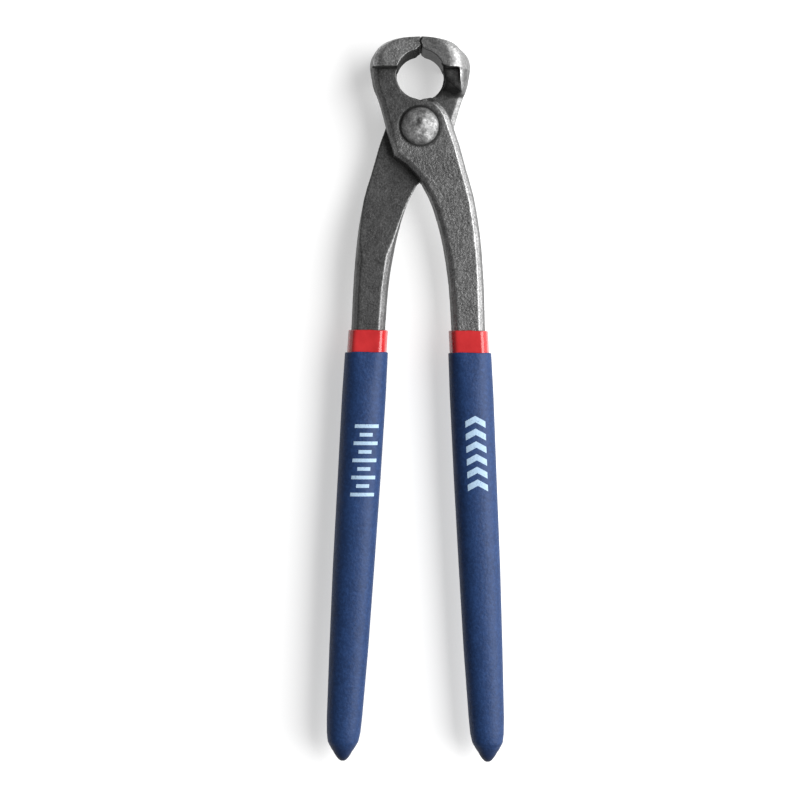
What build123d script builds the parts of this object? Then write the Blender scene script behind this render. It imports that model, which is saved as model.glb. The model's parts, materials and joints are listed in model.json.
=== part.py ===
from build123d import *
import os

# End cutting nipper, in millimetres. It is drawn about the rivet's axis, with the jaws towards +Y,
# and moved at the end so that the origin is under its middle, on the level of the lower jaw faces.

# Overall
REST_SHIFT = Location((0, 106, 12))
HALF_TURN = Rotation(0, 180, 0)
BEYOND = 40.0

# Joint
LAP_GAP = 0.05
PLATE_HALF = 7.0
LAP_RADIUS = 17.2
LAP_SLOPE_RADIUS = 24.8
LAP_HEAD_END = 12.9
LAP_RUN_OUT = [(-22.0, LAP_GAP), (-35.0, -2.2), (-50.0, -5.6)]
LAP_RUN_OUT_SLOPES = [(-1, 0), (-1, -0.25)]
LAP_TAIL = (-64.0, -9.0)
LAP_BEVEL_LINE = [(-17.95, 12.0), (-10.3, -11.5)]
LAP_BEVEL_WIDE = 2.9
LAP_BEVEL_DEEP = 2.0

# Rivet
SHANK_RADIUS = 4.0
RUNNING_CLEARANCE = 0.05
HEAD_RADIUS = 7.3
HEAD_HEIGHT = 3.6

# Jaws
JAW_HALF = 12.0
JAW_GAP = 0.04
SHOULDER = 22.3
NECK_LINE = 0.3
EYE_CENTRE = 19.7
EYE_RADIUS = 9.2
POCKET_DEPTH = 7.0
POCKET_WALL = 15.0
TOP_NOTCH = [(-2.0, 28.4), (0, 30.5), (2.0, 28.4)]
BOTTOM_NOTCH = [(-4.4, 11.7), (0, 10.1), (4.4, 11.7)]

# Handles
BEVEL = 1.6
DRAFT = 0.9
BEVEL_DROP = 1.9
INNER_LAYER = 1.05
GRIP_CORNER = 0.41

# Joint plate seen from above, from the jaw down the left edge to the crotch.
# Its other edges run inside the jaw, the arm and the eye.
PLATE_LEFT = [(-19.0, 25.0), (-19.0, 20.0), (-18.1, 14.6), (-16.6, 10.4), (-13.7, 0.2), (-10.9, -9.9)]
PLATE_CORNER = (-10.4, -11.9)
PLATE_CROTCH = [(-6.3, -14.7), (-3.6, -17.1), (0.3, -22.0)]
PLATE_HIDDEN = [(14.0, -21.0), (12.0, -8.0), (9.5, 0.0), (7.0, 6.0), (2.5, 9.5), (2.0, 12.5), (-3.0, 25.0)]

# Arm, then handle inside the grip. Each section runs between an outer and an inner point seen from
# above, and has a half thickness. The first ones turn round the rivet to make the nose.
ARM = [
    ((3.4, 12.6), (-3.0, 3.0), 7.0),
    ((8.2, 9.7), (-3.0, 1.0), 7.0),
    ((11.2, 5.6), (-3.0, -1.0), 7.0),
    ((12.6, 2.0), (-3.5, -3.0), 7.0),
    ((14.0, -2.0), (-4.0, -5.5), 7.0),
    ((15.6, -6.6), (-4.0, -9.0), 7.0),
    ((17.3, -12.6), (-4.0, -13.0), 7.0),
    ((19.0, -18.6), (-1.0, -18.6), 7.0),
    ((20.6, -24.0), (1.7, -24.0), 7.0),
    ((22.0, -30.0), (4.7, -30.0), 6.7),
    ((23.6, -40.0), (7.8, -40.0), 6.0),
    ((24.7, -50.0), (9.9, -50.0), 5.5),
    ((25.5, -62.0), (11.6, -62.0), 5.1),
    ((26.1, -78.0), (12.7, -78.0), 5.0),
]
HANDLE = [
    ((26.1, -78.0), (12.7, -78.0), 5.0),
    ((28.5, -120.0), (15.0, -120.0), 5.0),
    ((30.1, -153.0), (17.0, -153.0), 4.9),
    ((31.45, -186.0), (19.0, -186.0), 4.7),
    ((32.4, -218.0), (21.4, -218.0), 4.4),
    ((32.3, -230.0), (22.9, -230.0), 4.2),
    ((31.4, -236.5), (24.4, -236.5), 3.6),
]
INNER_START = ((26.13, -78.5), (12.73, -78.5), 5.0)
INNER_TIP = ((31.0, -237.6), (24.8, -237.6), 3.3)

# Grip's outer layer: distance along Y, outer edge, inner edge, half thickness.
GRIP = [
    (-87.0, 28.4, 11.7, 6.9),
    (-104.0, 29.45, 12.4, 7.0),
    (-137.0, 30.95, 14.25, 7.0),
    (-169.5, 32.5, 16.3, 6.8),
    (-202.0, 33.65, 18.45, 6.4),
    (-229.0, 34.45, 20.65, 6.0),
    (-235.0, 34.4, 21.3, 5.8),
    (-238.5, 34.0, 22.1, 5.4),
    (-241.2, 33.0, 23.3, 4.6),
    (-243.5, 31.5, 24.8, 3.5),
    (-245.2, 30.0, 26.3, 2.0),
    (-246.0, 28.8, 27.5, 0.8),
]

# Left jaw seen from above, from the middle of the top round to the neck: height, then the outline.
JAW_MIDDLE = (0.0, [(1.0, 34.0), (-9.0, 33.2), (-15.4, 30.7), (-18.9, 26.8), (-19.2, 20.0), (-17.2, 12.9)])
FRONT_LINE = (9.5, [(1.0, 34.0), (-8.9, 33.2), (-14.9, 30.7), (-17.9, 27.0), (-18.1, 20.0), (-16.5, 12.9)])
FRONT_EDGE = [
    FRONT_LINE,
    (11.3, [(1.0, 33.9), (-8.6, 33.1), (-14.1, 30.5), (-16.7, 26.9), (-16.9, 20.0), (-15.6, 12.9)]),
    (12.0, [(1.0, 33.6), (-8.2, 32.7), (-12.6, 30.2), (-14.4, 26.7), (-14.5, 20.0), (-13.4, 12.9)]),
]
BACK_LINE = (-8.5, [(1.0, 34.0), (-8.8, 33.2), (-14.0, 30.9), (-16.3, 26.8), (-16.5, 20.0), (-15.4, 12.9)])
BACK_EDGE = [
    BACK_LINE,
    (-11.0, [(1.0, 33.9), (-8.0, 33.1), (-12.4, 30.6), (-14.2, 26.7), (-14.4, 20.0), (-13.6, 12.9)]),
    (-12.0, [(1.0, 33.6), (-6.5, 32.7), (-9.8, 30.3), (-11.1, 26.6), (-11.2, 20.0), (-10.8, 12.9)]),
]


def slab(low, high):
    """A box from one corner to the other."""
    size = [high[i] - low[i] for i in range(3)]
    middle = [(high[i] + low[i]) / 2 for i in range(3)]
    return Pos(*middle) * Box(*size)


def arm_section(outer, inner, half, grow=0.0):
    """Ten-sided section of the forged arm: flat faces, bevels and drafted sides."""
    across = (Vector(*outer) - Vector(*inner)).normalized()
    start = Vector(*inner) - across * grow
    width = (Vector(*outer) - Vector(*inner)).length + 2 * grow
    top = half + grow
    near = top - BEVEL_DROP
    flat = DRAFT + BEVEL
    upper = [(0, 0), (DRAFT, near), (flat, top), (width - flat, top), (width - DRAFT, near)]
    lower = [(width, 0), (width - DRAFT, -near), (width - flat, -top), (flat, -top), (DRAFT, -near)]
    points = [start + across * along + Vector(0, 0, height) for along, height in upper + lower]
    return Wire.make_polygon(points, close=True)


def between(before, start, end, after, share):
    """One value on a smooth curve through four values, part of the way from start to end."""
    bend = 2 * before - 5 * start + 4 * end - after
    twist = 3 * start - before - 3 * end + after
    return start + share / 2 * (end - before + share * (bend + share * twist))


def smooth(rows, steps=3):
    """The sections, with more between them on a smooth curve."""
    flat = [(*outer, *inner, half) for outer, inner, half in rows]
    chain = [flat[0], *flat, flat[-1]]
    result = []
    for four in zip(chain, chain[1:], chain[2:], chain[3:]):
        for step in range(steps):
            x, y, inner_x, inner_y, half = (between(*values, step / steps) for values in zip(*four))
            result.append(((x, y), (inner_x, inner_y), half))
    return [*result, rows[-1]]


def arm():
    """The arm, from beside the rivet to the collar, then the straight handle inside the grip."""
    return Solid.make_loft([arm_section(*row) for row in smooth(ARM) + HANDLE[1:]], True)


def handle(rows, grow=0.0):
    """The length inside the grip, or a layer's outside round it."""
    return Solid.make_loft([arm_section(*row, grow=grow) for row in rows], True)


def inset(points, distance):
    """The same chain of points, moved towards its left-hand side."""
    moved = []
    for i, (x, y) in enumerate(points):
        before = points[max(i - 1, 0)]
        after = points[min(i + 1, len(points) - 1)]
        along = Vector(after[0] - before[0], after[1] - before[1]).normalized()
        moved.append((x - along.Y * distance, y + along.X * distance))
    return moved


def plate_outline(height, narrower):
    """The joint plate seen from above, at one height."""
    edge = inset(PLATE_LEFT + [PLATE_CORNER] + PLATE_CROTCH, narrower)
    turn = len(PLATE_LEFT)
    left = Spline(*edge[:turn])
    corner = Line(edge[turn - 1], edge[turn])
    crotch = Spline(*edge[turn:])
    hidden = Polyline(edge[-1], *PLATE_HIDDEN, edge[0])
    return Pos(0, 0, height) * Wire([left, corner, crotch, *hidden.edges()])


def plate():
    """The joint plate, with drafted sides and a bevel round each face."""
    middle = plate_outline(0, 0)
    shoulder = plate_outline(PLATE_HALF - BEVEL_DROP, DRAFT)
    face = plate_outline(PLATE_HALF, DRAFT + BEVEL)
    upper = Solid.make_loft([middle, shoulder], True) + Solid.make_loft([shoulder, face], True)
    return upper + mirror(upper, Plane.XY)


def jaw_outline(height, points):
    """The jaw's outline at one height, closed through the middle of the tool."""
    edge = Spline(*points)
    closing = Polyline(points[-1], (points[0][0], points[-1][1]), points[0])
    return Pos(0, 0, height) * Wire([edge, *closing.edges()])


def jaw():
    """The left jaw's block: drafted sides that round over to the two faces."""
    layers = [[JAW_MIDDLE, FRONT_LINE], FRONT_EDGE, [JAW_MIDDLE, BACK_LINE], BACK_EDGE]
    solids = [Solid.make_loft([jaw_outline(*row) for row in rows]) for rows in layers]
    block = solids[0] + solids[1] + solids[2] + solids[3]
    block -= slab((-BEYOND, 0, NECK_LINE), (BEYOND, SHOULDER, BEYOND))
    return block - slab((-JAW_GAP, 0, -BEYOND), (BEYOND, BEYOND, BEYOND))


def eye():
    """The round opening between the jaws, with the cutting bevels at its top."""
    hole = Pos(0, EYE_CENTRE) * Circle(EYE_RADIUS)
    hole += make_face(Polyline(*TOP_NOTCH, close=True))
    hole += make_face(Polyline(*BOTTOM_NOTCH, close=True))
    return extrude(hole, 2 * JAW_HALF, both=True)


def lap_cut():
    """The half of the joint's thickness that is left to the other forging."""
    run_out = Spline(*LAP_RUN_OUT, tangents=LAP_RUN_OUT_SLOPES)
    under = [LAP_TAIL, (LAP_TAIL[0], -BEYOND), (LAP_HEAD_END, -BEYOND), (LAP_HEAD_END, LAP_GAP)]
    ends = Polyline(LAP_RUN_OUT[-1], *under, LAP_RUN_OUT[0])
    side = Plane.YZ * make_face([run_out, ends])
    sweep = extrude(side, BEYOND, both=True)
    cone = Solid.make_cone(LAP_SLOPE_RADIUS, LAP_RADIUS, JAW_HALF + LAP_GAP)
    return sweep + Pos(0, 0, -JAW_HALF) * cone


def lap_bevel():
    """The bevel along the plate's outer edge, on the side that faces the other forging."""
    start, end = (Vector(*point) for point in LAP_BEVEL_LINE)
    along = end - start
    corner = [(-LAP_BEVEL_WIDE, -LAP_GAP), (LAP_BEVEL_WIDE, -LAP_GAP), (-LAP_BEVEL_WIDE, 2 * LAP_BEVEL_DEEP)]
    across = Plane(start, x_dir=Vector(-along.Y, along.X), z_dir=along)
    return extrude(across * make_face(Polyline(*corner, close=True)), along.length)


def half(bore_radius):
    """One forging: left jaw, joint plate and right handle."""
    steel = plate() + arm() + jaw()
    steel -= eye()
    steel -= slab((-POCKET_WALL, LAP_HEAD_END, -BEYOND), (BEYOND, SHOULDER, -POCKET_DEPTH))
    steel -= lap_cut() + lap_bevel()
    return steel - Cylinder(bore_radius, 4 * JAW_HALF)


def rivet():
    """The rivet, with a dome formed on each end."""
    reach = PLATE_HALF + RUNNING_CLEARANCE
    ball = (HEAD_RADIUS ** 2 + HEAD_HEIGHT ** 2) / (2 * HEAD_HEIGHT)
    dome = Pos(0, 0, reach + HEAD_HEIGHT - ball) * Sphere(ball)
    dome -= slab((-BEYOND, -BEYOND, -BEYOND), (BEYOND, BEYOND, reach))
    shank = Cylinder(SHANK_RADIUS, 2 * reach)
    return shank + dome + mirror(dome, Plane.XY)


def inner_outside():
    """The outside of the thin layer, which is closed at the tip."""
    return handle([INNER_START, *HANDLE[1:], INNER_TIP], INNER_LAYER)


def grip_section(y, outer, inner, half):
    """Rounded section of the grip."""
    height = 2 * half
    shape = RectangleRounded(outer - inner, height, GRIP_CORNER * min(height, outer - inner))
    return (Pos((outer + inner) / 2, y, 0) * Rotation(90, 0, 0) * shape).wire()


def outer_outside():
    """The outside of the thick outer layer, drawn out to a rounded tip."""
    return Solid.make_loft([grip_section(*row) for row in GRIP], True)


def write(shape, node):
    export_step(REST_SHIFT * shape, f"parts/{node}.step")


os.makedirs("parts", exist_ok=True)
inner = inner_outside()
core_right = inner - handle(HANDLE)
grip_right = outer_outside() - inner
write(half(SHANK_RADIUS + RUNNING_CLEARANCE), "front_half")
write(HALF_TURN * half(SHANK_RADIUS), "rear_half")
write(rivet(), "pivot_rivet")
write(core_right, "grip_core_right")
write(HALF_TURN * core_right, "grip_core_left")
write(grip_right, "grip_right")
write(HALF_TURN * grip_right, "grip_left")
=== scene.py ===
import json
import math
import random

import bpy
import numpy as np
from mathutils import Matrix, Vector, noise
from mathutils.bvhtree import BVHTree

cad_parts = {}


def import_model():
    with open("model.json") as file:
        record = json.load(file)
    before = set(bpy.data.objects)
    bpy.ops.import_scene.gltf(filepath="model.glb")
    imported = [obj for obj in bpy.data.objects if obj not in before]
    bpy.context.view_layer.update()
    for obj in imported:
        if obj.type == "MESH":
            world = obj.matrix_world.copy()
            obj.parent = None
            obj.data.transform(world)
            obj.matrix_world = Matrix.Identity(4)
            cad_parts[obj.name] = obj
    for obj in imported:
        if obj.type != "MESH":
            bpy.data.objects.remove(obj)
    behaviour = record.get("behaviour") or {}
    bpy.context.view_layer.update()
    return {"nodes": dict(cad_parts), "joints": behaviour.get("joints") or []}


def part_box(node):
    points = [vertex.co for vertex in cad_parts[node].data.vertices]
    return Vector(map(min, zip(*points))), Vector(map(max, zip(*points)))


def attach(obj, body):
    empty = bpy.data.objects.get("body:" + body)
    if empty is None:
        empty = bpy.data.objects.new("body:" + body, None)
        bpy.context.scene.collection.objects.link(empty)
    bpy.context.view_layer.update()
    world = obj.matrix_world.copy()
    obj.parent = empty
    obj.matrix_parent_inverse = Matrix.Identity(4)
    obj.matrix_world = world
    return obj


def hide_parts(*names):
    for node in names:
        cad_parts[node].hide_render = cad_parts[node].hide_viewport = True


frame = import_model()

MM = 0.001
PIVOT = Vector(frame["joints"][0]["pos_m"])
random.seed(7)

# How finely the pieces are drawn
VOXEL = 0.00038
EDGE_ROUNDS = 3
POCKET_ROUNDS = 45
ROUND = 120
SLEEVE_STEPS = 230
LIP_STEPS = 6
DOME_AROUND, DOME_UP = ((160, 60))

# Places on a forging, in millimetres from the rivet's middle, in its own frame: y towards the
# jaws, x towards the side that its handle is on, z away from the other forging. WALL, BEVEL,
# HEIGHT, COLLAR and START are fades from the first number to the second, CROTCH is an x and a y,
# LAP_HEIGHTS is a range and POCKET is two corners.
EYE_CENTRE = 19.7
EYE_WALL = (10.4, 10.0)
EYE_BEVEL = (12.0, 11.0)
EYE_FOOT = 9.5
JAW_FOOT = 12.0
RIM_FOOT = 14.0
RIM_HEIGHT = (8.6, 9.6)
SHOULDER = 22.3
NOTCH_FOOT = 27.0
SEAM_FOOT = 28.0
CROTCH = (7.7, -17.0)
COLLAR = (-80.0, -84.0)
ARM_START = (2.0, -14.0)
HEAD_EDGE = 7.9
PLATE_FACE = 6.2
LAP_HEIGHTS = (-11.0, 0.8)
LAP_REACH = 27.0
POCKET = ((-17.0, 11.6, -12.0), (-7.0, 20.9, -0.4))
POCKET_EDGE = 1.4

# Parts of the pocket drawn paler or darker as painted light and painted shade: two corners, the
# width of the edge, the change
POCKET_PATCHES = [
    ((-16.0, 16.5, -12.0), (-6.0, 21.0, -5.0), 1.5, 0.6),
    ((-16.2, 14.0, -12.0), (-13.9, 21.5, -6.0), 0.9, 1.4),
    ((-15.0, 12.6, -11.0), (-7.0, 14.6, -0.4), 1.4, -0.4),
]

# Relief on a forging, in millimetres
FINE_GRAIN, MIDDLING_GRAIN, BROAD_GRAIN = 0.055, 0.05, 0.06
HEAD_GROOVE = 0.12
SKIN_SHRINK = 0.04
LAP_SHRINK = 0.09
SEAM_WAVE, WAVE_PEAK = 0.3, 33.3

# How far a point stands out from its neighbours where its paler edge begins and is full, in voxels:
# partly wear, partly painted highlight
WEAR_AND_HIGHLIGHT_EDGE = (0.05, 0.20)

# How much each forging is changed in places. Apart from the grain, these are painted highlights on
# bevels and edges and painted shade in hollows, set for each forging by which sides face the lamp.
# They are cut alike and seen from opposite faces, so "up" says whether z points up or down in the
# row frame.
FRONT_TONES = {"up": 1, "grain": 1.0, "outer_bevel": 0.7, "outer_flatter": 0.0, "jaw_steep": 0.0,
               "jaw_side": 0.5, "inner_bevel": 1.75, "jaw_top": 0.3, "rim": 1.0, "eye_wall": 0.78}
REAR_TONES = {"up": -1, "grain": 0.3, "outer_bevel": 1.75, "outer_flatter": 0.8, "jaw_steep": 0.75,
              "jaw_side": 0.0, "inner_bevel": 0.3, "jaw_top": 0.42, "rim": 0.1, "eye_wall": 0.70}
# Painted shade on the joint plate, the crotch, the step below the jaw, the ring round the rivet head
# and the seam; the faces where the jaws meet are drawn near plain steel
PLATE_DARK = 0.45
CROTCH_DARK = 0.22
STEP_DARK = 0.75
HEAD_RING_DARK = 0.7
SEAM_SHADE = 0.05
MEETING_SHADE = 0.9

# Rivet heads, in metres
HEAD_RADIUS = 0.0073
HEAD_HEIGHT = 0.0036
FACETS, FACET_BLEND = 14, 0.00012
DENTS, DENT_DEPTH = 9, 0.00016
SKIRT = ((0.0004, 0.0), (0.0007, 0.0006))

# Dipped layers, in metres: the rounded lip, how far the edge wanders, rounds of softening, and the
# share of the way from the CAD section to an oval
RED_LAYER = {"lip": 0.0005, "wander": 0.0002, "soften": 2, "oval": 0.0}
BLUE_LAYER = {"lip": 0.0004, "wander": 0.0003, "soften": 5, "oval": 0.75}
OVAL_RUN = 0.014
UNEVEN_RUN = 0.004
TUCK, TUCK_RUN = 0.0004, 0.004
TIP_DRAW, TIP_RUN = 0.00045, 0.0080
WALL_DEPTH, WALL_INSET = 0.006, 0.0007
SKIN_GAP = 0.00003
# Where the grip's colour darkens towards its tip, along Y in metres: painted shade
DARK_TIP = (-0.1395, -0.1315)

# Printed marks: "start" is a place along Y in metres, lengths are in millimetres, "lean" is the
# column's slope, "slant" the slope of a bar's two arms, and "bar" its share of the pitch
CHEVRONS = {"start": -0.0056, "middle": 22.1, "lean": 0.047, "slant": 0.55, "pitch": 4.9, "bar": 0.5,
            "count": 6.0, "half": 3.9, "shorter": 0.0}
SCALE = {"start": -0.0092, "middle": -19.6, "lean": -0.062, "slant": 0.0, "pitch": 3.3, "bar": 0.42,
         "count": 9.0, "half": 4.6, "shorter": 2.1}
INK = (0.27, 0.37, 0.475)

# Stage: places and sizes in metres, the power in watts, the roll in degrees and the lens in
# millimetres
FLOOR_HALF = 3.0
FLOOR_DROP = 0.0002
FLOOR_GLOW = 0.48
WORLD_STRENGTH = 0.22
KEY_PLACE = (0.62, 0.10, 0.50)
KEY_SIZE = (1.1, 0.9)
KEY_POWER = 24.5
CAMERA_PLACE = (-0.0069, 0.0003, 0.952)
CAMERA_ROLL = 0.42
CAMERA_LENS = 108.9

# ---------------------------------------------------------------- materials


class Nodes:
    """A small helper round one material's node tree."""

    def __init__(self, name):
        self.material = bpy.data.materials.new(name)
        self.material.use_nodes = True
        self.tree = self.material.node_tree
        self.bsdf = self.tree.nodes["Principled BSDF"]
        self.place = self.tree.nodes.new("ShaderNodeTexCoord").outputs["Object"]

    def put(self, socket, value):
        """Links another node's output to a socket, or sets the socket to a number."""
        if isinstance(value, bpy.types.NodeSocket):
            self.tree.links.new(value, socket)
        else:
            socket.default_value = value

    def axes(self):
        """The place's x, y and z, in metres."""
        node = self.tree.nodes.new("ShaderNodeSeparateXYZ")
        self.put(node.inputs["Vector"], self.place)
        return node.outputs

    def noise(self, scale, detail=3.0, rough=0.5):
        """Noise with features about 1/scale metres across."""
        node = self.tree.nodes.new("ShaderNodeTexNoise")
        self.put(node.inputs["Vector"], self.place)
        node.inputs["Scale"].default_value = scale
        node.inputs["Detail"].default_value = detail
        node.inputs["Roughness"].default_value = rough
        return node.outputs["Fac"]

    def ramp(self, fac, low, high, start=0.0, end=1.0):
        """fac mapped from low..high to start..end, clamped."""
        node = self.tree.nodes.new("ShaderNodeMapRange")
        node.clamp = True
        self.put(node.inputs["Value"], fac)
        node.inputs["From Min"].default_value = low
        node.inputs["From Max"].default_value = high
        node.inputs["To Min"].default_value = start
        node.inputs["To Max"].default_value = end
        return node.outputs["Result"]

    def value(self, name):
        """A number stored on the mesh's points."""
        node = self.tree.nodes.new("ShaderNodeAttribute")
        node.attribute_name = name
        return node.outputs["Fac"]

    def mix(self, fac, first, second, how="MIX"):
        """Two colours mixed; each is an output of another node or red, green and blue."""
        node = self.tree.nodes.new("ShaderNodeMix")
        node.data_type = "RGBA"
        node.blend_type = how
        self.put(node.inputs[0], fac)
        for place, colour in ((6, first), (7, second)):
            linked = isinstance(colour, bpy.types.NodeSocket)
            self.put(node.inputs[place], colour if linked else (*colour, 1.0))
        return node.outputs[2]

    def math(self, kind, first, second=0.0):
        """A sum on one number or two."""
        node = self.tree.nodes.new("ShaderNodeMath")
        node.operation = kind
        self.put(node.inputs[0], first)
        self.put(node.inputs[1], second)
        return node.outputs[0]

    def bump(self, height, distance, strength=1.0, under=None):
        """Bumps up to distance metres high, over those in under."""
        node = self.tree.nodes.new("ShaderNodeBump")
        self.put(node.inputs["Height"], height)
        node.inputs["Distance"].default_value = distance
        node.inputs["Strength"].default_value = strength
        if under is not None:
            self.put(node.inputs["Normal"], under)
        return node.outputs["Normal"]

    def finish(self, **values):
        """Sets the shader's sockets, each named with _ for a space."""
        for name, value in values.items():
            self.put(self.bsdf.inputs[name.replace("_", " ")], value)
        return self.material


def grey(level):
    return (level, level, level)


def steel(name, dark, light, rough, metal):
    """Dark forged steel: blotchy colour times the stored shade (painted shade, painted highlights
    and edge wear), rougher where it is dark, with a granular skin.
    """
    look = Nodes(name)
    blotch = look.ramp(look.noise(220.0, detail=4.0, rough=0.6), 0.35, 0.65)
    colour = look.mix(blotch, grey(dark), grey(light))
    speck = look.ramp(look.noise(1300.0, rough=0.6), 0.42, 0.62, 0.0, 0.5)
    colour = look.mix(speck, colour, grey(1.9 * light))
    # The stored shade is painted light and shade on the steel's colour
    shade = look.value("shade")
    tint = look.tree.nodes.new("ShaderNodeCombineColor")
    for channel in ("Red", "Green", "Blue"):
        look.put(tint.inputs[channel], shade)
    colour = look.mix(1.0, colour, tint.outputs["Color"], "MULTIPLY")
    coarse = look.math("MULTIPLY", look.noise(1250.0, rough=0.6), look.value("coarse"))
    surface = look.bump(coarse, 0.00022)
    surface = look.bump(look.noise(2600.0, detail=2.0), 0.00003, under=surface)
    shine = look.ramp(look.noise(600.0), 0.3, 0.7, rough - 0.06, rough + 0.08)
    # Rougher where the painted shade is dark
    rough_in_shade = look.ramp(shade, 0.35, 0.5, 0.92, 0.0)
    shine = look.math("MAXIMUM", shine, rough_in_shade)
    return look.finish(Base_Color=colour, Metallic=metal, Roughness=shine, Normal=surface)


def red_layer():
    """The glossy layer that shows as a collar above each grip."""
    look = Nodes("glossy_red")
    tone = look.ramp(look.noise(160.0), 0.3, 0.7)
    colour = look.mix(tone, (0.30, 0.011, 0.013), (0.36, 0.016, 0.018))
    surface = look.bump(look.noise(300.0, detail=2.0), 0.00025, strength=0.5)
    return look.finish(Base_Color=colour, Roughness=0.2, Normal=surface)


def along_grip(look, ink):
    """Distances along the grip from the first mark and across it from its middle line, in mm, and
    1 on its upper side."""
    x, y, z = look.axes()
    along = look.math("MULTIPLY", look.math("SUBTRACT", ink["start"], y), 1000.0)
    line = look.math("ADD", ink["middle"], look.math("MULTIPLY", along, ink["lean"]))
    across = look.math("SUBTRACT", look.math("MULTIPLY", x, 1000.0), line)
    upper = look.math("GREATER_THAN", z, PIVOT.z)
    return along, across, upper


def marks(look, ink):
    """Generic printed marks: a column of chevrons, or a scale of short and long bars."""
    along, across, mask = along_grip(look, ink)
    side = look.math("ABSOLUTE", across)
    step = look.math("ADD", along, look.math("MULTIPLY", side, -ink["slant"]))
    part = look.math("FRACT", look.math("DIVIDE", step, ink["pitch"]))
    count = look.math("FLOOR", look.math("DIVIDE", step, ink["pitch"]))
    narrower = look.math("MULTIPLY", look.math("MODULO", count, 2.0), ink["shorter"])
    tests = [(part, "LESS_THAN", ink["bar"]),
             (count, "GREATER_THAN", -0.5),
             (count, "LESS_THAN", ink["count"] - 0.5),
             (look.math("ADD", side, narrower), "LESS_THAN", ink["half"])]
    for value, kind, limit in tests:
        mask = look.math("MULTIPLY", mask, look.math(kind, value, limit))
    worn = look.ramp(look.noise(1500.0), 0.3, 0.4, 0.55, 0.96)
    return look.math("MULTIPLY", mask, worn)


def blue_layer(name, ink):
    """The matt outer layer: mottled, darker at its tip as painted shade, with the printed marks."""
    look = Nodes(name)
    tone = look.ramp(look.noise(130.0, detail=4.0, rough=0.6), 0.3, 0.7)
    colour = look.mix(tone, (0.0054, 0.0185, 0.062), (0.0083, 0.0262, 0.086))
    mottle = look.ramp(look.noise(800.0, rough=0.65), 0.44, 0.68, 0.0, 0.6)
    colour = look.mix(mottle, colour, (0.0145, 0.042, 0.126))
    # Painted shade: darker towards the tip
    near_tip = look.ramp(look.axes()["Y"], *DARK_TIP, 0.9, 0.0)
    colour = look.mix(near_tip, colour, (0.003, 0.007, 0.024))
    colour = look.mix(marks(look, ink), colour, INK)
    surface = look.bump(look.noise(1000.0, rough=0.55), 0.00022, strength=0.7)
    surface = look.bump(look.noise(160.0, detail=2.0), 0.0006, strength=0.35, under=surface)
    return look.finish(Base_Color=colour, Roughness=0.52, Specular_IOR_Level=0.2, Normal=surface)


def paper():
    """A mid grey with some glow of its own, so that soft shadows fade to white."""
    look = Nodes("paper")
    tone = look.ramp(look.noise(3.0, detail=2.0), 0.3, 0.7)
    colour = look.mix(tone, grey(0.47), grey(0.49))
    return look.finish(Base_Color=colour, Roughness=0.9, Specular_IOR_Level=0.1,
                       Emission_Color=(1, 1, 1, 1), Emission_Strength=FLOOR_GLOW)


# ---------------------------------------------------------------- meshes


def new_piece(name, verts, faces, material, body, nodes):
    """A smooth visual piece that rides on a body and stands in for CAD nodes."""
    mesh = bpy.data.meshes.new(name)
    mesh.from_pydata(verts, [], faces)
    mesh.validate()
    mesh.shade_smooth()
    piece = bpy.data.objects.new(name, mesh)
    bpy.context.scene.collection.objects.link(piece)
    mesh.materials.append(material)
    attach(piece, body)
    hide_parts(*nodes)
    return piece


def store(piece, name, values):
    """Keeps a number on each of the mesh's points, for its material."""
    layer = piece.data.attributes.new(name, "FLOAT", "POINT")
    layer.data.foreach_set("value", values.astype(np.float32))


def surface_tree(node):
    """A CAD node's surface, for casting rays and finding nearest points."""
    mesh = frame["nodes"][node].data
    points = [v.co.copy() for v in mesh.vertices]
    return BVHTree.FromPolygons(points, [tuple(p.vertices) for p in mesh.polygons])


def remeshed(node):
    """Even, softened copy of a CAD node's surface: vertices, normals and faces."""
    source = frame["nodes"][node]
    copy = bpy.data.objects.new("working", source.data.copy())
    bpy.context.scene.collection.objects.link(copy)
    grid = copy.modifiers.new("grid", "REMESH")
    grid.mode = "VOXEL"
    grid.voxel_size = VOXEL
    soft = copy.modifiers.new("soft", "SMOOTH")
    soft.factor = 0.5
    soft.iterations = EDGE_ROUNDS
    bpy.context.view_layer.update()
    shaped = copy.evaluated_get(bpy.context.evaluated_depsgraph_get())
    mesh = shaped.to_mesh()
    count = len(mesh.vertices)
    verts = np.empty(count * 3)
    mesh.vertices.foreach_get("co", verts)
    normals = np.empty(count * 3)
    mesh.vertices.foreach_get("normal", normals)
    faces = [tuple(p.vertices) for p in mesh.polygons]
    shaped.to_mesh_clear()
    bpy.data.objects.remove(copy)
    return verts.reshape(-1, 3), normals.reshape(-1, 3), faces


def bands(rows, around):
    """Faces between neighbouring rows of points, each row going right round a piece."""
    faces = []
    for row in range(rows - 1):
        here, beyond = row * around, (row + 1) * around
        for i in range(around):
            j = (i + 1) % around
            faces.append((here + i, here + j, beyond + j, beyond + i))
    return faces


def links(faces):
    """Every vertex with each of its neighbours, as two arrays."""
    quads = np.array(faces)
    one, other = quads.ravel(), np.roll(quads, -1, axis=1).ravel()
    return np.concatenate([one, other]), np.concatenate([other, one])


def neighbours_mean(points, pairs):
    """The mean of each vertex's neighbours."""
    vertex, beside = pairs
    sums = [np.bincount(vertex, points[beside, axis], len(points)) for axis in range(3)]
    return np.stack(sums, axis=1) / np.bincount(vertex, minlength=len(points))[:, None]


def grain(points, size, seed):
    """Smooth noise at each point, about -1 to 1, with features about size across."""
    shift = Vector((seed * 3.7, seed * 1.3, seed * 2.1))
    return np.array([noise.noise(Vector(p) / size + shift) for p in points])


def fade(value, start, end):
    """0 at start, 1 at end, clamped, for start above or below end."""
    return np.clip((value - start) / (end - start), 0, 1)


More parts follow.
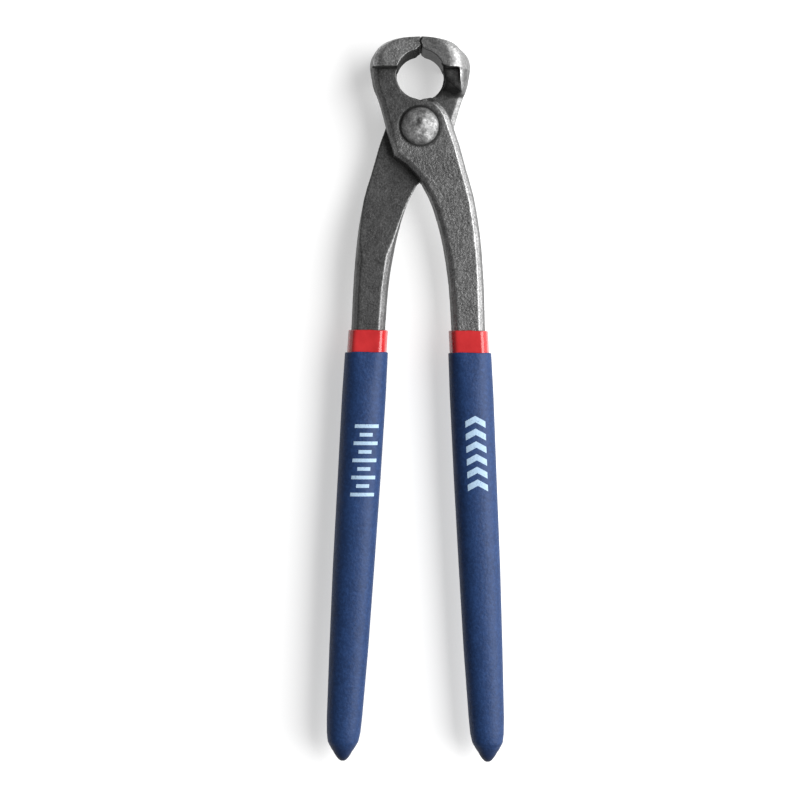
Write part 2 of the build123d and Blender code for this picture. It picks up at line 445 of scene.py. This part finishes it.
def inside(places, low, high, edge):
    """1 inside a box, fading to 0 within edge of it."""
    gap = np.maximum(np.array(low) - places, places - np.array(high)).max(axis=1)
    return np.clip(1 - gap / edge, 0, 1)


# ---------------------------------------------------------------- forgings


class Spots:
    """A forging's points in its own frame, in millimetres, and the way each one faces."""

    def __init__(self, verts, normals, up):
        turn = np.array((up, 1, up))
        self.places = (verts - np.array(PIVOT)) / MM * turn
        self.x, self.y, self.z = self.places.T
        self.nx, self.ny, self.nz = (normals * turn).T
        self.level = np.abs(self.nz)
        self.height = np.abs(self.z)
        self.upward = self.z * up
        self.reach = np.hypot(self.x, self.y)
        self.from_eye = np.hypot(self.x, self.y - EYE_CENTRE)


def forged(node, name, material, body, tones):
    """A forging: the CAD surface softened and given its grain, with painted shade, painted
    highlights and paler edges (partly wear, partly painted highlight) stored for its material.
    """
    verts, normals, faces = remeshed(node)
    pairs = links(faces)
    soft = inside(Spots(verts, normals, tones["up"]).places, *POCKET, POCKET_EDGE)
    for _ in range(POCKET_ROUNDS):
        verts = verts + 0.5 * soft[:, None] * (neighbours_mean(verts, pairs) - verts)
    edge = ((verts - neighbours_mean(verts, pairs)) * normals).sum(axis=1) / VOXEL
    # Convex edges, drawn paler: partly wear, partly painted highlight
    edge = fade(edge, *WEAR_AND_HIGHLIGHT_EDGE) * (1 - soft)
    points = verts.tolist()
    fine = grain(points, 0.0010, 1)
    blotch = grain(points, 0.0032, 2)
    broad = grain(points, 0.010, 3)
    at = Spots(verts, normals, tones["up"])
    coarse = (0.45 + 0.55 * fade(at.y, *ARM_START)) * tones["grain"]
    rough = FINE_GRAIN * coarse * fine + MIDDLING_GRAIN * blotch + BROAD_GRAIN * broad
    verts = verts + normals * MM * relief(at, rough)[:, None]
    crisp(verts, (np.abs(at.x) < 1.1) & (at.y > NOTCH_FOOT), node)
    verts[:, 0] += MM * seam_wave(at)
    low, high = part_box(node)
    verts[:, 2] = np.clip(verts[:, 2], low[2], high[2])
    piece = new_piece(name, verts.tolist(), faces, material, body, [node])
    # Painted shade and painted highlights, stored for the material
    store(piece, "shade", shading(at, edge, blotch, tones))
    store(piece, "coarse", 0.2 + 0.8 * coarse)


def relief(at, rough):
    """How far each point is raised, in millimetres. The steel under the grips and the face that
    meets the other forging are left smooth."""
    by_head = (at.height > PLATE_FACE) * (at.level > 0.5)
    groove = np.exp(-((at.reach - HEAD_EDGE) / 0.5) ** 2) * by_head
    raised = (rough - HEAD_GROOVE * groove) * (1 - fade(at.y, *COLLAR)) - SKIN_SHRINK
    low, high = LAP_HEIGHTS
    lap = (at.nz < -0.3) & (at.z > low) & (at.z < high) & (at.reach < LAP_REACH)
    raised[lap] = -LAP_SHRINK
    return raised


def crisp(verts, zone, node):
    """Brings these points back onto the CAD surface, so that its sharp corners show."""
    for i in np.flatnonzero(zone):
        verts[i] = SURFACES[node].find_nearest(Vector(verts[i]))[0]


def seam_wave(at):
    """The slight sideways wave of the jaws' seam, in millimetres."""
    near_seam = fade(np.abs(at.x), 1.4, 0.2) * (at.y > 26)
    return SEAM_WAVE * np.cos((WAVE_PEAK - at.y) * 2.4) * near_seam


def shading(at, edge, blotch, tones):
    """How pale the steel is: painted shade in the hollows and along the seam, painted highlights on
    the bevels, and paler convex edges, partly wear and partly painted highlight.
    """
    by_eye = fade(at.from_eye, *EYE_BEVEL) * (at.y > EYE_FOOT)
    shade = face_shade(at, tones) * bevel_shade(at, by_eye, blotch, tones) * hollow_shade(at, tones)
    # Convex edges paler: partly wear, partly painted highlight
    shade *= 1 + (0.9 + 0.5 * blotch) * edge * (1 - 0.8 * by_eye)
    # The seam between the jaws drawn dark: painted shade
    line = np.where(at.ny > 0.4, 0.2, 0.35)
    seam = fade(np.abs(at.x) - line, 0.25, 0.0) * (at.y > SEAM_FOOT)
    shade = shade * (1 - seam) + SEAM_SHADE * seam
    sideways = fade(np.abs(at.nx), 0.75, 0.9)
    meeting = sideways * fade(np.abs(at.x), 0.5, 0.3) * (at.y > SEAM_FOOT)
    return shade * (1 - meeting) + MEETING_SHADE * meeting


def face_shade(at, tones):
    """Painted shade makes the joint plate and the crotch darker than the arm, and the jaw's top is
    paler.
    """
    towards_plate = fade(0.6 * at.x - 0.8 * at.y, 2, -7)
    plate = towards_plate * fade(at.y, SHOULDER, 21.9) * (at.height > 5)
    crotch = np.exp(-((at.x - CROTCH[0]) ** 2 + (at.y - CROTCH[1]) ** 2) / 30)
    jaw_top = fade(at.y, 22.0, 22.6)
    return (1 - PLATE_DARK * plate) * (1 - CROTCH_DARK * crotch) * (1 + tones["jaw_top"] * jaw_top)


def bevel_shade(at, by_eye, blotch, tones):
    """Painted highlights and painted shade on bevels and rounded edges, by the side that they face.
    """
    not_flat = fade(at.level, 0.985, 0.94)
    slope = fade(at.level, 0.30, 0.50) * not_flat
    steep = fade(at.level, 0.12, 0.32) * not_flat * (at.y > JAW_FOOT)
    slope = np.maximum(slope, tones["jaw_steep"] * steep)
    outward = fade(at.nx, -0.1, -0.4)
    inward = fade(at.nx, 0.1, 0.4)
    # Painted highlight on the outer bevels
    outer_highlight = tones["outer_bevel"] - tones["outer_flatter"] * fade(at.level, 0.72, 0.90)
    shade = 1 + outer_highlight * slope * outward * (at.upward > -5)
    # Painted shade on the jaw's steep outer side
    shade *= 1 - tones["jaw_side"] * fade(at.level, 0.35, 0.2) * outward * (at.y > JAW_FOOT)
    # Painted highlight on the inner bevels
    shade *= 1 + tones["inner_bevel"] * slope * inward * (1 - by_eye)
    # Painted highlight along the jaw's outer rounded edge
    rim = fade(at.upward, *RIM_HEIGHT) * slope * outward * (at.y > RIM_FOOT)
    return shade * (1 + tones["rim"] * rim * (1 + 0.5 * blotch))


def hollow_shade(at, tones):
    """Painted shade on the eye's wall, the notch, the step below the jaw's top and the ring round
    the rivet, and painted light and shade in the pocket.
    """
    upright = fade(at.level, 0.6, 0.4)
    wall = fade(at.from_eye, *EYE_WALL) * upright * (at.y > EYE_FOOT)
    notch = fade(np.abs(at.x), 3.2, 2.6) * (at.y > NOTCH_FOOT) * upright * fade(at.ny, 0.4, 0.0)
    shade = 1 - tones["eye_wall"] * np.maximum(wall, notch)
    step = fade(at.ny, -0.35, -0.6) * (at.y > 20.5) * (at.y < 24) * (at.height > 6.4)
    foot = fade(at.y, 21.0, 22.2) * (at.y < SHOULDER) * (at.level > 0.5) * (at.height < 11)
    shade *= 1 - STEP_DARK * np.maximum(step, 0.7 * foot)
    # Painted light and painted shade in the pocket
    for low, high, width, change in POCKET_PATCHES:
        shade *= 1 + change * inside(at.places, low, high, width)
    return shade * (1 - HEAD_RING_DARK * fade(at.reach, 8.5, HEAD_EDGE) * (at.height > PLATE_FACE))


# ---------------------------------------------------------------- dipped layers


def middle(node, y):
    """The middle of a handle node's section, sideways, at this place along it."""
    tree = SURFACES[node]
    low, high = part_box(node)
    left = tree.ray_cast(Vector((low[0] - 0.01, y, PIVOT.z)), Vector((1, 0, 0)))[0]
    right = tree.ray_cast(Vector((high[0] + 0.01, y, PIVOT.z)), Vector((-1, 0, 0)))[0]
    return (left.x + right.x) / 2


def ring(node, y, centre, soften, oval=0.0):
    """Distances from the centre to the node's outer surface, right round its section."""
    heart = Vector((centre, y, PIVOT.z))
    turns = 2 * np.pi * np.arange(ROUND) / ROUND
    reach = np.zeros(ROUND)
    for i, turn in enumerate(turns):
        out = Vector((math.cos(turn), 0, math.sin(turn)))
        hit = SURFACES[node].ray_cast(heart + out * 0.03, -out)[0]
        reach[i] = (hit - heart).length if hit else 0.0
    for _ in range(soften):
        reach = (np.roll(reach, 1) + reach + np.roll(reach, -1)) / 3
    wide, tall = (reach[0] + reach[ROUND // 2]) / 2, reach[ROUND // 4]
    if oval and wide > 0 and tall > 0:
        ellipse = 1 / np.hypot(np.cos(turns) / wide, np.sin(turns) / tall)
        reach = reach + oval * (np.minimum(ellipse, reach) - reach)
    return reach - SKIN_GAP


def sleeve_rings(outer, inner, make, hidden):
    """Sections from the tip to the rounded lip, then down the inside wall. Each is its place along
    Y, its centre, its distances and how much less they are; below hidden it is tucked in."""
    low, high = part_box(outer)
    end, top, lip = low[1], high[1], make["lip"]
    rings = []
    for k in range(SLEEVE_STEPS + 1):
        y = max(end + (top - lip - end) * k / SLEEVE_STEPS, end + 0.00015)
        centre = middle(outer, y)
        less = TUCK * min(1.0, max(0.0, (hidden - y) / TUCK_RUN))
        if make["oval"]:
            less += TIP_DRAW * math.sin(math.pi * min(1.0, (y - end) / TIP_RUN)) ** 2
        oval = make["oval"] * min(1.0, (top - y) / OVAL_RUN)
        rings.append((y, centre, ring(outer, y, centre, make["soften"], oval), less))
    _, centre, reach, _ = rings[-1]
    for k in range(1, LIP_STEPS + 1):
        turn = math.pi / 2 * k / LIP_STEPS
        rings.append((top - lip + lip * math.sin(turn), centre, reach, lip * (1 - math.cos(turn))))
    centre = middle(outer, top - 0.0003)
    wall = ring(inner, top - 0.0005, centre, 0)
    rings.append((top, centre, wall, 0.0))
    rings.append((top - WALL_DEPTH, centre, wall, WALL_INSET))
    return rings


def sleeve(name, outer, inner, make, hidden, material, body):
    """A dipped layer over an inner node, with a slightly uneven edge."""
    rings = sleeve_rings(outer, inner, make, hidden)
    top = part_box(outer)[1][1]
    wander = make["wander"]
    verts = []
    for y, centre, reach, less in rings:
        near_top = max(0.0, 1 - abs(y - top) / UNEVEN_RUN)
        for i in range(ROUND):
            turn = 2 * math.pi * i / ROUND
            aside, aloft = math.cos(turn), math.sin(turn)
            uneven = wander * noise.noise(Vector((aside * 1.5, aloft * 1.5, top * 91)))
            x = centre + (reach[i] - less) * aside
            z = PIVOT.z + (reach[i] - less) * aloft
            verts.append((x, y + (uneven - wander) * near_top, z))
    faces = bands(len(rings), ROUND)
    faces.append(tuple(reversed(range(ROUND))))
    faces.append(tuple(range((len(rings) - 1) * ROUND, len(rings) * ROUND)))
    new_piece(name, verts, faces, material, body, [outer])


# ---------------------------------------------------------------- rivet


def pointing(lean, turn):
    """A direction leaning from straight up, turned about the rivet's axis."""
    return Vector((math.sin(lean) * math.cos(turn), math.sin(lean) * math.sin(turn), math.cos(lean)))


def beaten(out, ball, facets):
    """The ball's radius in one direction, cut back softly by each facet."""
    reach = ball
    for facing, distance in facets:
        along = out.dot(facing)
        if along > 0.3:
            over = min(40.0, (reach - distance / along) / FACET_BLEND)
            reach -= FACET_BLEND * math.log1p(math.exp(over))
    return reach


def pitted(point, out, dents):
    """A point on the dome, sunk by the dents and given two sizes of roughness."""
    for angle, far, size in dents:
        gap = math.hypot(point.x - far * math.cos(angle), point.y - far * math.sin(angle))
        point = point - out * DENT_DEPTH * math.exp(-(gap / size) ** 2)
    point = point + out * 0.00004 * noise.noise(point / 0.0008)
    return point + out * 0.00009 * noise.noise(point / 0.0024)


def blows(seed, ball):
    """Random facets, as a direction and a distance, and random dents, as an angle, a distance from
    the axis and a size."""
    draw = random.Random(seed)
    facets = []
    for _ in range(FACETS):
        lean = math.radians(draw.uniform(8, 50))
        turn = draw.uniform(0, 2 * math.pi)
        facets.append((pointing(lean, turn), ball * draw.uniform(0.978, 0.99)))
    dents = []
    for _ in range(DENTS):
        angle = draw.uniform(0, 6.28)
        far = draw.uniform(0.001, 0.0055)
        dents.append((angle, far, draw.uniform(0.0006, 0.0012)))
    return facets, dents


def hammered_dome(sign, seed):
    """Points and faces of one rivet head, beaten into shallow facets."""
    ball = (HEAD_RADIUS ** 2 + HEAD_HEIGHT ** 2) / (2 * HEAD_HEIGHT)
    facets, dents = blows(seed, ball)
    widest = math.asin(HEAD_RADIUS / ball)
    points = []
    for row in range(DOME_UP + 1):
        from_rim = min(1.0, (1 - row / DOME_UP) * 5)
        for i in range(DOME_AROUND):
            out = pointing(widest * row / DOME_UP, 2 * math.pi * i / DOME_AROUND)
            reach = ball + (beaten(out, ball, facets) - ball) * from_rim
            point = pitted(out * reach, out, dents)
            points.append((point.x, point.y, point.z - ball + HEAD_HEIGHT))
    for depth, narrower in SKIRT:
        radius = HEAD_RADIUS - narrower
        for i in range(DOME_AROUND):
            turn = 2 * math.pi * i / DOME_AROUND
            points.append((radius * math.cos(turn), radius * math.sin(turn), -depth))
    faces = [(a, d, c, b) for a, b, c, d in bands(DOME_UP + 1 + len(SKIRT), DOME_AROUND)]
    faces.append(tuple(range(len(points) - 1, len(points) - DOME_AROUND - 1, -1)))
    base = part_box("pivot_rivet")[1][2] - HEAD_HEIGHT - PIVOT.z
    placed = [(PIVOT.x + x, PIVOT.y + y * sign, PIVOT.z + (base + z) * sign) for x, y, z in points]
    return placed, faces


def rivet_heads(material):
    """Both heads as one piece; painted shade darkens them at their rims, and they are darker in the
    middle.
    """
    top, top_faces = hammered_dome(1, 5)
    under, under_faces = hammered_dome(-1, 9)
    faces = top_faces + [tuple(i + len(top) for i in face) for face in under_faces]
    piece = new_piece("rivet_heads", top + under, faces, material, "rear", ["pivot_rivet"])
    places = (np.array(top + under) - np.array(PIVOT)) / MM
    x, y, z = places.T
    blotch = grain(places.tolist(), 2.2, 4)
    # Painted shade: darker towards the base of each head
    rim = 0.45 + 0.55 * fade(np.abs(z) - 7.05, 0.1, 1.2)
    dark = np.exp(-(np.hypot(x + 0.1, y - 0.3) / 2.4) ** 2)
    store(piece, "shade", rim * (1 + 0.6 * blotch) * (1 - 0.6 * dark))
    store(piece, "coarse", np.full(len(places), 0.35))


# ---------------------------------------------------------------- stage


def floor():
    """A large square just under the tool."""
    mesh = bpy.data.meshes.new("floor")
    half = FLOOR_HALF
    corners = [(-half, -half, 0), (half, -half, 0), (half, half, 0), (-half, half, 0)]
    mesh.from_pydata(corners, [], [(0, 1, 2, 3)])
    plane = bpy.data.objects.new("floor", mesh)
    bpy.context.scene.collection.objects.link(plane)
    plane.location.z = -FLOOR_DROP
    mesh.materials.append(paper())


def world():
    """An even white surround."""
    made = bpy.data.worlds.new("studio")
    bpy.context.scene.world = made
    made.use_nodes = True
    back = made.node_tree.nodes["Background"]
    back.inputs["Color"].default_value = (1, 1, 1, 1)
    back.inputs["Strength"].default_value = WORLD_STRENGTH


def key_lamp():
    """One large soft lamp on the right, aimed at the origin."""
    data = bpy.data.lights.new("key", "AREA")
    data.shape = "RECTANGLE"
    data.size, data.size_y = KEY_SIZE
    data.energy = KEY_POWER
    light = bpy.data.objects.new("key", data)
    bpy.context.scene.collection.objects.link(light)
    light.location = KEY_PLACE
    light.rotation_euler = (-Vector(KEY_PLACE)).to_track_quat("-Z", "Y").to_euler()


def camera():
    """Straight above the tool, as in the photo."""
    data = bpy.data.cameras.new("camera")
    data.lens = CAMERA_LENS
    data.sensor_width = 36.0
    data.clip_start = 0.05
    made = bpy.data.objects.new("camera", data)
    bpy.context.scene.collection.objects.link(made)
    made.location = CAMERA_PLACE
    made.rotation_euler = (0, 0, math.radians(CAMERA_ROLL))
    bpy.context.scene.camera = made


# ---------------------------------------------------------------- the scene

SURFACES = {node: surface_tree(node) for node in ("grip_left", "grip_right", "grip_core_left",
                                                  "grip_core_right", "front_half", "rear_half")}
# The forgings are the same steel; the rear one is drawn darker as painted shade
FORGED_FRONT = steel("forged_front", 0.050, 0.088, 0.42, 0.75)
FORGED_REAR = steel("forged_rear", 0.037, 0.056, 0.42, 0.75)
RIVET = steel("rivet", 0.098, 0.18, 0.52, 0.6)
RED = red_layer()
BLUE_LEFT = blue_layer("matte_blue_left", SCALE)
BLUE_RIGHT = blue_layer("matte_blue_right", CHEVRONS)

forged("front_half", "front_forging", FORGED_FRONT, "front", FRONT_TONES)
forged("rear_half", "rear_forging", FORGED_REAR, "rear", REAR_TONES)
rivet_heads(RIVET)
for side, body, steel_node, blue in (("left", "rear", "rear_half", BLUE_LEFT),
                                     ("right", "front", "front_half", BLUE_RIGHT)):
    core, grip = "grip_core_" + side, "grip_" + side
    tip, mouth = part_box(grip)[0][1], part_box(grip)[1][1]
    sleeve("inner_layer_" + side, core, steel_node, RED_LAYER, mouth, RED, body)
    sleeve("outer_layer_" + side, grip, core, BLUE_LAYER, tip, blue, body)

floor()
world()
key_lamp()
camera()
bpy.context.scene.view_settings.view_transform = "Standard"
